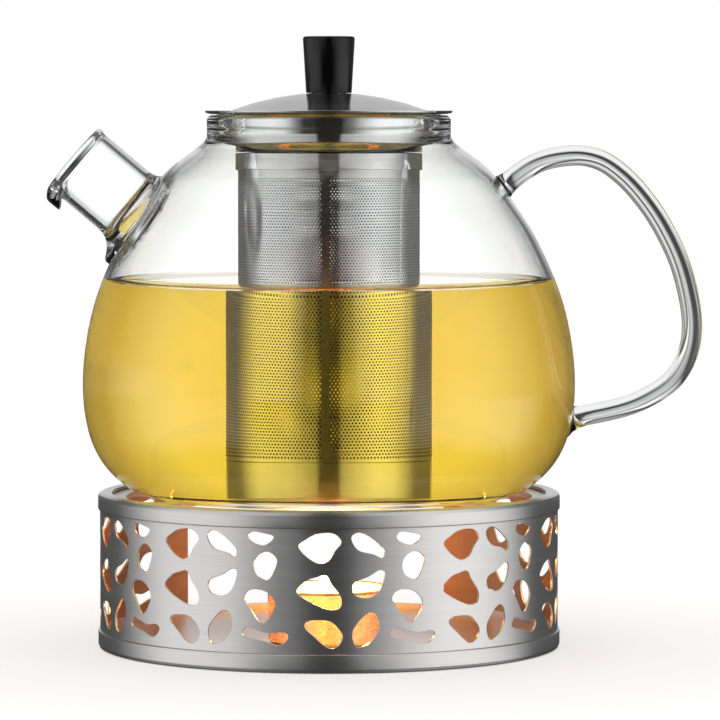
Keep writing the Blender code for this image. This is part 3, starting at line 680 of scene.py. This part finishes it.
def spout_tube():
    """A straight tube with a trumpet foot and a rolled pouring lip."""
    length = (SPOUT_MOUTH - SPOUT_BASE).length
    wall = SPOUT_R - SPOUT_BORE_R
    rings = []
    for k in range(19):
        distance = FOOT_END * k / 18
        rise = (FOOT_END - distance) / (FOOT_END - FOOT_START)
        rings.append(spout_ring(distance, SPOUT_R + FOOT_FLARE * min(rise ** 3, 2.0)))
    # distance back from the mouth in mm, and as shares: wall, reach, fold
    outer_lip = ((9.0, 0.0, 0.0, 0.0), (6.5, 0.0, 0.01, 0.0), (5.0, 0.0, 0.04, 0.0),
                 (4.2, 0.0, 0.12, 0.0), (3.6, 0.0, 0.30, 0.02), (3.2, 0.0, 0.50, 0.10),
                 (2.9, 0.02, 0.68, 0.28), (2.7, 0.04, 0.78, 0.52), (2.5, 0.07, 0.82, 0.76),
                 (2.4, 0.09, 0.84, 0.97), (2.3, 0.11, 0.92, 1.03), (2.2, 0.12, 0.99, 0.98),
                 (2.05, 0.14, 1.0, 0.74), (1.9, 0.16, 1.0, 0.48), (1.7, 0.18, 0.98, 0.28),
                 (1.4, 0.2, 0.90, 0.16), (1.1, 0.2, 0.76, 0.10), (0.7, 0.17, 0.54, 0.06),
                 (0.35, 0.08, 0.33, 0.02), (0.12, -0.1, 0.2, 0.0), (0.0, -0.4, 0.12, 0.0))
    inner_lip = ((0.04, -0.7, 0.08, 0.0), (0.2, -0.97, 0.05, 0.0), (0.6, -1.15, 0.03, 0.0),
                 (1.2, -1.2, 0.01, 0.0), (1.8, -1.14, 0.0, 0.0), (2.4, -1.03, 0.0, 0.0),
                 (3.4, -1.0, 0.0, 0.0), (5.2, -1.0, 0.0, 0.0), (7.0, -1.0, 0.0, 0.0))
    for back, thin, reach, fold in (*outer_lip, *inner_lip):
        rings.append(spout_ring(length - back * MM, SPOUT_R + thin * wall, reach * LIP_REACH,
                                fold * LIP_FOLD))
    for k in range(1, 9):
        rings.append(spout_ring((length - 7.0 * MM) * (1 - k / 8), SPOUT_BORE_R))
    return tube("spout_tube", rings)


def handle_rod():
    """The bent rod, flared where it is welded to the belly."""
    line = smooth_line([(x * MM, z * MM) for x, z in HANDLE_LINE], 8)
    points = [Vector((x, 0.0, z)) for x, z in line]
    walked = [0.0]
    for a, b in zip(points, points[1:]):
        walked.append(walked[-1] + (b - a).length)
    rings = []
    last = len(points) - 1
    level = Vector((0.0, 1.0, 0.0))
    for i, point in enumerate(points):
        along = (points[min(i + 1, last)] - points[max(i - 1, 0)]).normalized()
        across = Vector((-along.z, 0.0, along.x))
        near = min(walked[i], walked[-1] - walked[i])
        rise = max(0.0, 1.0 - near / WELD_LENGTH)
        radius = HANDLE_R + WELD_FLARE * rise ** 3
        rings.append([point + (across * x + level * y) * radius for x, y in circle(HANDLE_SIDES)])
    return tube("handle_rod", rings, closed=False, sharp=50.0)


def build_pot(glass):
    """Body, spout and handle as the one fused piece of glass that they are."""
    belly = belly_line()
    axis, under, side = spout_axis()
    middle = [(0.0, belly[0][1]), *shifted(belly, GLASS_WALL / 2.0), (0.0, belly[-1][1])]
    trims = [lathe("trim", middle, GLASS_SIDES, 50.0) for _ in range(2)]
    spout = combine(spout_tube(), trims[0], "DIFFERENCE")
    handle = combine(handle_rod(), trims[1], "DIFFERENCE")
    pot = combine(pot_shell(belly), spout, "UNION")
    pot = combine(pot, handle, "UNION")
    steps = [(under * x + side * y) * (SPOUT_BORE_R + BORE_EASE) for x, y in circle(SPOUT_SIDES)]
    bore = tube("bore", [[SPOUT_BASE + axis * reach + step for step in steps] for reach in BORE_REACH],
                closed=False)
    pot = combine(pot, bore, "DIFFERENCE")
    pot.name = "glass_pot"
    pot.materials.clear()
    pot.shade_smooth()
    pot.set_sharp_from_angle(angle=math.radians(48.0))
    add_piece("glass_pot", pot, glass, "pot", "clear_glass",
              "glass_body", "glass_rim", "spout", "handle")
    return belly


def build_tea(belly, liquid):
    """Tea up to its level, with the meniscus where it climbs the glass."""
    wall = [p for p in shifted(belly, GLASS_WALL - TEA_OVERLAP)
            if POT_FLOOR_Z + FLOOR_BEND - TEA_OVERLAP < p[1] < TEA_Z + TEA_CLIMB]
    edge = wall[0][0]
    surface = [(0.0, TEA_Z), *((edge - back * MM, TEA_Z + rise * MM) for back, rise in MENISCUS)]
    floor = inner_floor(wall[-1], POT_FLOOR_Z - TEA_OVERLAP)
    profile = [*smooth_line(surface, 5), *wall, *floor[1:]]
    add_piece("tea", lathe("tea", profile, GLASS_SIDES, 60.0), liquid, "pot", "clear_glass")


# ---- turned pieces
def build_turned(node, material, body, slot, radius=0.3 * MM, sides=FINE_SIDES, sharp=30.0):
    """A finer copy of a turned CAD node: more facets, and every corner eased."""
    outline = turned_profile(node)
    profile = rounded(outline, radius, closed=outline[0][0] > WELD)
    mesh = lathe(node + "_mesh", profile, sides, sharp)
    return add_piece(node + "_fine", mesh, material, body, slot, node)


def build_knob(plastic):
    """The knob, with its lower edge brought down to the dome."""
    outline = turned_profile("knob")
    if outline[0][1] < outline[-1][1]:
        outline.reverse()
    bottom = min(z for r, z in outline)
    edge = [p for p in outline if p[1] < bottom + KNOB_EDGE and p[0] > KNOB_HOLE_R]
    first = outline.index(edge[0])
    side_r = edge[0][0]
    foot = bottom - KNOB_SKIRT
    skirt = [(side_r, foot), (side_r - MM, foot), (side_r - MM, bottom)]
    profile = [*outline[:first], *skirt, *outline[first + len(edge):]]
    mesh = lathe("knob_mesh", rounded(profile, 0.3 * MM, closed=False), FINE_SIDES)
    add_piece("knob_fine", mesh, plastic, "lid", "black_plastic", "knob")


# ---- strainer sleeve
def sleeve_ring(name, levels, first_row, plain, outer_r, inner_r):
    """A ring of perforated sheet between levels. The holes are staggered, a plain strip
    at the seam closes the ring, and the spans in plain have no holes."""
    columns = int((2.0 * math.pi * outer_r - SEAM_WIDTH) / HOLE_PITCH)
    half = HOLE_PITCH / 2.0
    seam_start = 2 * columns + 1
    seam_steps = 6
    seam = 2.0 * math.pi * outer_r - seam_start * half
    arcs = [k * half for k in range(seam_start + 1)]
    arcs += [arcs[-1] + seam * k / seam_steps for k in range(1, seam_steps)]
    count = len(arcs)
    layer = len(levels) * count
    start = SEAM_AZIMUTH + seam / 2.0 / outer_r
    verts = []
    faces = []

    def point(arc, z, r):
        angle = start + arc / outer_r
        return (r * math.cos(angle), r * math.sin(angle), z)

    def at(side, j, k):
        return side + j * count + k % count

    for r in (outer_r, inner_r):
        for z in levels:
            verts += [point(arc, z, r) for arc in arcs]
    for j in range(len(levels) - 1):
        odd = (j + first_row) % 2
        whole = range(count) if j in plain else [0 if odd else 2 * columns, *range(seam_start, count)]
        for k in whole:
            for side in (0, layer):
                faces.append((at(side, j, k), at(side, j, k + 1),
                              at(side, j + 1, k + 1), at(side, j + 1, k)))
        if j in plain:
            continue
        mid_z = (levels[j] + levels[j + 1]) / 2.0
        for k in range(odd, 2 * columns + odd, 2):
            mouths = []
            for side, r in ((0, outer_r), (layer, inner_r)):
                border = [at(side, j, k + n) for n in (0, 1, 2)]
                border += [at(side, j + 1, k + n) for n in (2, 1, 0)]
                mouth = []
                for spoke in range(6):
                    turn = math.radians(60.0 * spoke - 150.0)
                    mouth.append(len(verts))
                    verts.append(point(arcs[k + 1] + HOLE_R * math.cos(turn),
                                       mid_z + HOLE_R * math.sin(turn), r))
                mouths.append(mouth)
                for n in range(6):
                    m = (n + 1) % 6
                    faces.append((border[n], border[m], mouth[m], mouth[n]))
            for n in range(6):
                m = (n + 1) % 6
                faces.append((mouths[0][n], mouths[0][m], mouths[1][m], mouths[1][n]))
    for j in (0, len(levels) - 1):
        for k in range(count):
            faces.append((at(0, j, k), at(0, j, k + 1), at(layer, j, k + 1), at(layer, j, k)))
    return mesh_from(name, verts, faces, 35.0)


def paint_shade_inside(piece, radius, steel):
    """A second material, which holds painted shade, on the faces closer to the axis than a radius."""
    piece.data.materials.append(steel)
    for face in piece.data.polygons:
        if face.center.xy.length < radius:
            face.material_index = 1


def build_sleeve(steel, inside_steel):
    """The strainer wall, in stacked rings that keep each mesh light."""
    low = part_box("infuser_base_cup")[1].z + SLEEVE_SEAM
    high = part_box("infuser_sleeve")[1].z
    outline = turned_profile("infuser_sleeve")
    outer_r = max(r for r, z in outline)
    inner_r = min(r for r, z in outline)
    rows = int((HOLES_HIGH_Z - HOLES_LOW_Z) / HOLE_ROW / SLEEVE_RINGS)
    for n in range(SLEEVE_RINGS):
        levels = [HOLES_LOW_Z + HOLE_ROW * (n * rows + j) for j in range(rows + 1)]
        plain = []
        if n == 0:
            levels.insert(0, low)
            plain.append(0)
        if n == SLEEVE_RINGS - 1:
            levels.append(high)
            plain.append(len(levels) - 2)
        mesh = sleeve_ring(f"sleeve_mesh_{n}", levels, n * rows + (n > 0), plain, outer_r, inner_r)
        ring = add_piece(f"infuser_sleeve_ring_{n}", mesh, steel, "infuser", "brushed_steel",
                         "infuser_sleeve")
        # the inner faces take near-black steel: painted shade inside the sleeve and in its holes
        paint_shade_inside(ring, outer_r - 0.1 * MM, inside_steel)


def build_base_cup(steel):
    """The strainer's closed foot, flush with the sleeve and rounded below."""
    outer_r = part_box("infuser_sleeve")[1].x
    low, high = (corner.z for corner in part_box("infuser_base_cup"))
    inner_r = outer_r - CUP_WALL
    corners = [(0.0, low), (outer_r, low), (outer_r, high), (inner_r, high),
               (inner_r, low + CUP_WALL), (0.0, low + CUP_WALL)]
    mesh = lathe("base_cup_mesh", rounded(corners, CUP_ROUND, closed=False, steps=10), FINE_SIDES)
    add_piece("infuser_base_cup_fine", mesh, steel, "infuser", "brushed_steel", "infuser_base_cup")


# ---- sheet cut to an outline
def filled(loops, cuts=()):
    """A triangulated sheet in the XY plane between a border and its holes, with extra
    edges at the x values in cuts."""
    sheet = bmesh.new()
    edges = []
    for loop in loops:
        corners = [sheet.verts.new((p[0], p[1], 0.0)) for p in loop]
        for i, corner in enumerate(corners):
            edges.append(sheet.edges.new((corner, corners[(i + 1) % len(corners)])))
    bmesh.ops.triangle_fill(sheet, use_beauty=True, edges=edges, normal=(0.0, 0.0, 1.0))
    for x in cuts:
        everything = [*sheet.verts, *sheet.edges, *sheet.faces]
        bmesh.ops.bisect_plane(sheet, geom=everything, dist=0.1 * WELD, plane_co=(x, 0.0, 0.0),
                               plane_no=(1.0, 0.0, 0.0))
    return sheet


def cut_sheet(name, loops, thickness, ease, place, cuts=()):
    """Sheet metal cut to loops, its edges eased on both faces. place turns (x, y, depth)
    into a point and the outward normal there."""
    sheet = filled(loops, cuts)
    sheet.verts.index_update()
    inward = {}
    border = [e for e in sheet.edges if e.is_boundary]
    for edge in border:
        a, b = edge.verts
        along = (b.co - a.co).normalized()
        into = edge.link_faces[0].calc_center_median() - a.co
        into = (into - along * into.dot(along)).normalized()
        for vert in (a, b):
            inward[vert.index] = inward.get(vert.index, Vector()) + into
    flat = [v.co.xy for v in sheet.verts]
    eased = [p + inward[i].xy.normalized() * ease if i in inward else p for i, p in enumerate(flat)]
    count = len(flat)
    rim = sorted(inward)
    upper = {i: count + n for n, i in enumerate(rim)}
    lower = {i: count + len(rim) + n for n, i in enumerate(rim)}
    back = count + 2 * len(rim)
    points = [(*p, 0.0) for p in eased]
    points += [(*flat[i], ease) for i in rim]
    points += [(*flat[i], thickness - ease) for i in rim]
    points += [(*p, thickness) for p in eased]
    front_faces = [tuple(v.index for v in f.verts) for f in sheet.faces]
    faces = [*front_faces, *(tuple(back + i for i in reversed(f)) for f in front_faces)]
    for edge in border:
        a, b = (v.index for v in edge.verts)
        faces += [(a, b, upper[b], upper[a]), (upper[a], upper[b], lower[b], lower[a]),
                  (lower[a], lower[b], back + b, back + a)]
    sheet.free()
    placed = [place(*p) for p in points]
    mesh = mesh_from(name, [p for p, normal in placed], faces, 28.0)
    normals = []
    for face in mesh.polygons:
        for vert in face.vertices:
            normal = placed[vert][1]
            tilt = face.normal.dot(normal)
            flat_face = face.index < 2 * len(front_faces)
            normals.append(normal * math.copysign(1.0, tilt) if flat_face else Vector())
    mesh.normals_split_custom_set(normals)
    return mesh


def build_band(steel, inside_steel):
    """The perforated band, with its holes' outlines read off the CAD band and smoothed."""
    band_r = max(v.co.xy.length for v in frame["nodes"]["warmer_band"].data.vertices)
    back_angle = math.pi / 2.0

    def unrolled(point):
        """Arc length from the middle of the open back, and height."""
        angle = (math.atan2(point.y, point.x) - back_angle) % (2.0 * math.pi)
        return (angle * band_r, point.z)

    loops = outlines("warmer_band", lambda f: all(v.co.xy.length > band_r - WELD * 5 for v in f.verts))
    flat = sorted(([unrolled(p) for p in loop] for loop in loops), key=len)
    frame_loop = flat.pop()
    left = min(p[0] for p in frame_loop)
    right = max(p[0] for p in frame_loop)
    low = min(p[1] for p in frame_loop) - BAND_TUCK
    high = max(p[1] for p in frame_loop) + BAND_TUCK
    steps = int((right - left) / band_r / BAND_STEP)
    along = [left + (right - left) * k / steps for k in range(steps + 1)]
    border = [(x, low) for x in along] + [(x, high) for x in reversed(along)]
    holes = [smooth_line(loop, 6, closed=True) for loop in flat]

    def rolled(x, y, depth):
        angle = back_angle + x / band_r
        normal = Vector((math.cos(angle), math.sin(angle), 0.0))
        return normal * (band_r - depth) + Vector((0.0, 0.0, y)), normal

    mesh = cut_sheet("band_mesh", [border, *holes], BAND_SHEET, BAND_EDGE, rolled, along[1:-1])
    band = add_piece("warmer_band_fine", mesh, steel, "warmer", "brushed_steel", "warmer_band")
    # the inner faces take dark brown steel: painted shade, tinted warm as by the candle's glow
    paint_shade_inside(band, band_r - BAND_SHEET + 0.05 * MM, inside_steel)


def build_support(steel):
    """The plate with three arms under the pot, with its arms' corners rounded."""
    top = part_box("pot_support")[1].z
    loops = outlines("pot_support", lambda f: f.normal.z > 0.9)
    loops.sort(key=lambda loop: min(p.xy.length for p in loop))
    inner = smooth_line([p.xy for p in loops[0]], 4, closed=True)
    outer_r = max(p.xy.length for p in loops[1])
    outer = [(outer_r * x, outer_r * y) for x, y in circle(FINE_SIDES)]

    def lying(x, y, depth):
        return Vector((x, y, top - depth)), Vector((0.0, 0.0, 1.0))

    mesh = cut_sheet("support_mesh", [outer, inner], SUPPORT_SHEET, 0.2 * MM, lying)
    add_piece("pot_support_fine", mesh, steel, "warmer", "brushed_steel", "pot_support")


# ---- tealight
def build_tealight_cup(metal):
    """The foil cup, with faint flutes pressed into its side."""
    piece = build_turned("tealight_cup", metal, "tealight", "tealight_foil", 0.35 * MM, 240)
    low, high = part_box("tealight_cup")
    for vert in piece.data.vertices:
        height = (vert.co.z - low.z) / (high.z - low.z)
        radius = vert.co.xy.length
        if radius < high.x - 2.0 * MM or height > FLUTE_TOP:
            continue
        angle = math.atan2(vert.co.y, vert.co.x)
        fade = math.sin(math.pi * height / FLUTE_TOP)
        vert.co.xy *= 1.0 + FLUTE_DEPTH * fade * math.cos(FLUTES * angle) / radius


def build_wax(material):
    """Wax with a shallow melted pool that climbs at the wick and at the cup's wall."""
    outline = turned_profile("tealight_wax")
    top = max(z for r, z in outline)
    outer_r = max(r for r, z in outline)
    inner_r = min(r for r, z in outline)
    surface = []
    for k in range(25):
        r = inner_r + (outer_r - inner_r) * k / 24
        dip = POOL_DEPTH * math.exp(-(r / POOL_R) ** 6)
        climb = WAX_CLIMB * math.exp(-(r - inner_r) / WAX_CLIMB_REACH)
        surface.append((r, top - dip + climb))
    under = [p for p in outline if p[1] < top - WELD]
    if under[0][0] < under[-1][0]:
        under.reverse()
    profile = [*surface, *rounded(under, 0.4 * MM, closed=False)]
    mesh = lathe("wax_mesh", profile, SMALL_SIDES, 40.0)
    add_piece("tealight_wax_fine", mesh, material, "tealight", "candle_wax", "tealight_wax")


def build_wick(material):
    """The wick, leaning a little at its burnt tip."""
    piece = build_turned("tealight_wick", material, "tealight", "wick_cotton", 0.2 * MM, 32)
    low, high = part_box("tealight_wick")
    work = bmesh.new()
    work.from_mesh(piece.data)
    for level in range(1, 24):
        z = low.z + (high.z - low.z) * level / 24
        everything = [*work.verts, *work.edges, *work.faces]
        bmesh.ops.bisect_plane(work, geom=everything, plane_co=(0.0, 0.0, z),
                               plane_no=(0.0, 0.0, 1.0))
    for vert in work.verts:
        rise = max(0.0, (vert.co.z - high.z + WICK_BEND) / WICK_BEND)
        twist = math.atan2(vert.co.y, vert.co.x) * 3.0 + vert.co.z / MM * 2.2
        vert.co.xy *= 1.0 + 0.07 * math.cos(twist)
        vert.co.x += WICK_LEAN * rise * rise
    work.to_mesh(piece.data)
    work.free()


def flame_foot():
    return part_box("tealight_wick")[1].z - FLAME_FOOT


def build_flame(glow):
    """A small steady flame round the tip of the wick, and the light it gives to the
    pieces made so far, which are the warmer and the tealight. Some of them don't show
    through glass, or their orange would fill the strainer and the tea."""
    shape = ((0.0, 0.0), (0.30, 0.02), (0.66, 0.09), (0.94, 0.22), (1.0, 0.34), (0.90, 0.50),
             (0.66, 0.68), (0.36, 0.84), (0.14, 0.95), (0.0, 1.0))
    foot = flame_foot()
    profile = smooth_line([(r * FLAME_R, foot + z * FLAME_H) for r, z in shape], 5)
    profile = [(max(r, 0.0), z) for r, z in profile]
    profile[0] = (0.0, foot)
    profile[-1] = (0.0, foot + FLAME_H)
    flame = add_piece("candle_flame", lathe("flame_mesh", profile, 48, 60.0), glow, "tealight",
                      "candle_wax")
    flame.visible_shadow = False
    flame.visible_glossy = False
    lit = bpy.data.collections.new("candle_lit")
    modelled = set(frame["nodes"].values())
    for item in bpy.context.scene.objects:
        if item.type == "MESH" and item not in modelled:
            lit.objects.link(item)
            item.visible_transmission = not item.name.startswith(NOT_THROUGH_GLASS)
    lamp = bpy.data.lights.new("candle_light", "POINT")
    lamp.energy = CANDLE_WATTS
    lamp.color = CANDLE_COLOUR
    lamp.shadow_soft_size = FLAME_R
    light = bpy.data.objects.new("candle_light", lamp)
    bpy.context.scene.collection.objects.link(light)
    light.location = (0.0, 0.0, foot + FLAME_HEART * FLAME_H)
    light.parent = frame["bodies"]["tealight"]
    light.visible_camera = False
    light.visible_transmission = False
    light.light_linking.receiver_collection = lit


# ---- stage
def build_floor():
    """A plain pale table top."""
    corners = [(x * FLOOR_SIZE / 2.0, y * FLOOR_SIZE / 2.0, 0.0)
               for x, y in ((-1, -1), (1, -1), (1, 1), (-1, 1))]
    mesh = bpy.data.meshes.new("floor")
    mesh.from_pydata(corners, [], [(0, 1, 2, 3)])
    floor = bpy.data.objects.new("floor", mesh)
    bpy.context.scene.collection.objects.link(floor)
    mesh.materials.append(new_material("floor", Base_Color=grey(0.90), Roughness=1.0,
                                       Specular_IOR_Level=0.0)[0])
    floor.location.z = -FLOOR_DROP
    floor.visible_glossy = False
    floor.visible_transmission = False


def centred(table):
    """A table whose places run from -1 to 1, for a ramp whose places run from 0 to 1."""
    return [(0.5 + 0.5 * place, level) for place, level in table]


def mirrored_light(nodes, way):
    """Bright panels at both sides, with dark gaps between them."""
    turn = nodes.math("ARCTAN2", way["X"], nodes.math("MULTIPLY", way["Y"], -1.0))
    turn = nodes.math("MULTIPLY_ADD", turn, 0.5 / math.pi, 0.5)
    light = nodes.ramp(turn, centred(REFLECTED))
    for fade, panels in ((LOW_FADE, REFLECTED_LOW), (ABOVE_FADE, REFLECTED_ABOVE),
                         (BELOW_FADE, REFLECTED_BELOW)):
        light = nodes.mix(nodes.fit(way["Z"], *fade), light, nodes.ramp(turn, centred(panels)))
    return light


def light_through(nodes, way, crossed, is_past_tea):
    """A bright backdrop between two dark panels, and the table seen from above. Rod,
    empty glass and tea each have their own."""
    turn = nodes.math("DIVIDE", nodes.math("ARCCOSINE", way["Y"]), math.pi)
    up_right = nodes.math("ADD", way["X"], way["Z"])
    up_right = nodes.math("MULTIPLY_ADD", up_right, 0.5, 0.5)
    rod = nodes.vector("MULTIPLY", nodes.ramp(up_right, centred(THROUGH_ROD)),
                       nodes.ramp(turn, ROD_LINES))
    tea = nodes.mix(nodes.fit(way["X"], *SIDES_FADE), nodes.ramp(turn, REFRACTED_LEFT),
                    nodes.ramp(turn, REFRACTED_RIGHT))
    light = nodes.mix(nodes.math("GREATER_THAN", crossed, ROD_SURFACES), rod,
                      nodes.ramp(turn, THROUGH_GLASS))
    light = nodes.mix(is_past_tea, light, tea)
    return nodes.mix(nodes.fit(way["Z"], *TABLE_FADE), light, grey(TABLE_SHOWS))


def build_studio():
    """Soft white light from all round. What shows in it depends on how a ray came:
    straight, off a dull surface, through glass or off a shiny surface."""
    world = bpy.data.worlds.new("studio")
    bpy.context.scene.world = world
    world.use_nodes = True
    nodes = Nodes(world.node_tree, "Background")
    way = nodes.split(nodes.add("ShaderNodeTexCoord").outputs["Generated"])
    path = nodes.add("ShaderNodeLightPath").outputs
    crossed = path["Transmission Depth"]
    is_past_tea = nodes.math("GREATER_THAN", crossed, GLASS_SURFACES)
    through = light_through(nodes, way, crossed, is_past_tea)
    mirrored = mirrored_light(nodes, way)
    in_tea = nodes.vector("MULTIPLY_ADD", mirrored, (TEA_GAIN,) * 3, (TEA_LIFT,) * 3)
    light = grey(1.0)
    for bounces, other in ((crossed, through),
                           (path["Glossy Depth"], nodes.mix(is_past_tea, mirrored, in_tea)),
                           (path["Diffuse Depth"], grey(SOFT_LIGHT))):
        light = nodes.mix(nodes.math("GREATER_THAN", bounces, 0.5), light, other)
    nodes.drive(Color=light)


def build_camera():
    """A long lens a little above the pot's shoulder, looking slightly down."""
    lens = bpy.data.cameras.new("camera")
    lens.sensor_width = 36.0
    lens.clip_start = 0.05
    lens.clip_end = 100.0
    camera = bpy.data.objects.new("camera", lens)
    bpy.context.scene.collection.objects.link(camera)
    camera.location = CAMERA_PLACE
    look = CAMERA_TARGET - CAMERA_PLACE
    lens.lens = lens.sensor_width * look.length / VIEW_WIDTH
    camera.rotation_euler = look.to_track_quat("-Z", "Y").to_euler()
    bpy.context.scene.camera = camera


def set_rendering():
    """Plain colours, and bounces enough for light to cross the glass, tea and sleeve."""
    scene = bpy.context.scene
    scene.view_settings.view_transform = "Standard"
    scene.cycles.max_bounces = 24
    scene.cycles.transmission_bounces = 20
    scene.cycles.glossy_bounces = 8
    scene.cycles.transparent_max_bounces = 16


# ---- assembly
def main():
    steel = brushed_metal("brushed_steel", (0.68, 0.67, 0.665), (0.80, 0.79, 0.785), (0.29, 0.37))
    fine_steel = brushed_metal("polished_steel", (0.74, 0.74, 0.74), (0.80, 0.80, 0.80),
                               (0.07, 0.12), 0.0015 * MM)
    mesh_steel = brushed_metal("sleeve_steel", (0.72, 0.72, 0.72), (0.78, 0.78, 0.78),
                               (0.15, 0.21), 0.0015 * MM)
    # near-black steel: painted shade for the inside of the strainer sleeve
    inside_steel = brushed_metal("inside_steel", (0.12, 0.12, 0.12), (0.17, 0.17, 0.17),
                                 (0.3, 0.4), 0.0015 * MM)
    # dark brown steel: painted shade inside the warmer band, tinted as by candlelight
    band_inside = brushed_metal("band_inside", (0.36, 0.25, 0.17), (0.46, 0.33, 0.23), (0.35, 0.45))
    lid_steel = brushed_metal("satin_steel", (0.54, 0.54, 0.55), (0.62, 0.62, 0.63), (0.11, 0.16),
                              0.003 * MM)
    tin = brushed_metal("wick_tin", (0.55, 0.55, 0.56), (0.70, 0.70, 0.71), (0.30, 0.45))
    plastic = black_plastic()

    build_camera()
    build_turned("warmer_foot_ring", steel, "warmer", "brushed_steel")
    build_turned("warmer_base_plate", steel, "warmer", "brushed_steel", 4.0 * MM)
    build_turned("warmer_top_ring", steel, "warmer", "brushed_steel")
    build_band(steel, band_inside)
    build_support(steel)

    build_tealight_cup(foil())
    build_wax(candle_wax())
    build_wick(charred_cotton())
    build_turned("tealight_wick_tab", tin, "tealight", "wick_tin", 0.15 * MM, SMALL_SIDES)
    build_flame(flame_light())

    belly = build_pot(clear_glass())
    build_tea(belly, tea_liquid())

    build_turned("infuser_rim", fine_steel, "infuser", "brushed_steel", 0.5 * MM)
    build_turned("infuser_collar", fine_steel, "infuser", "brushed_steel", 0.15 * MM)
    build_base_cup(mesh_steel)
    build_sleeve(mesh_steel, inside_steel)

    build_turned("lid_dome", lid_steel, "lid", "satin_steel", 0.4 * MM)
    build_turned("lid_locating_ring", lid_steel, "lid", "satin_steel", 0.2 * MM)
    build_knob(plastic)
    build_turned("knob_washer", fine_steel, "lid", "brushed_steel", 0.15 * MM, SMALL_SIDES)
    build_turned("knob_screw", fine_steel, "lid", "brushed_steel", 0.15 * MM, SMALL_SIDES)

    build_floor()
    build_studio()
    set_rendering()


main()
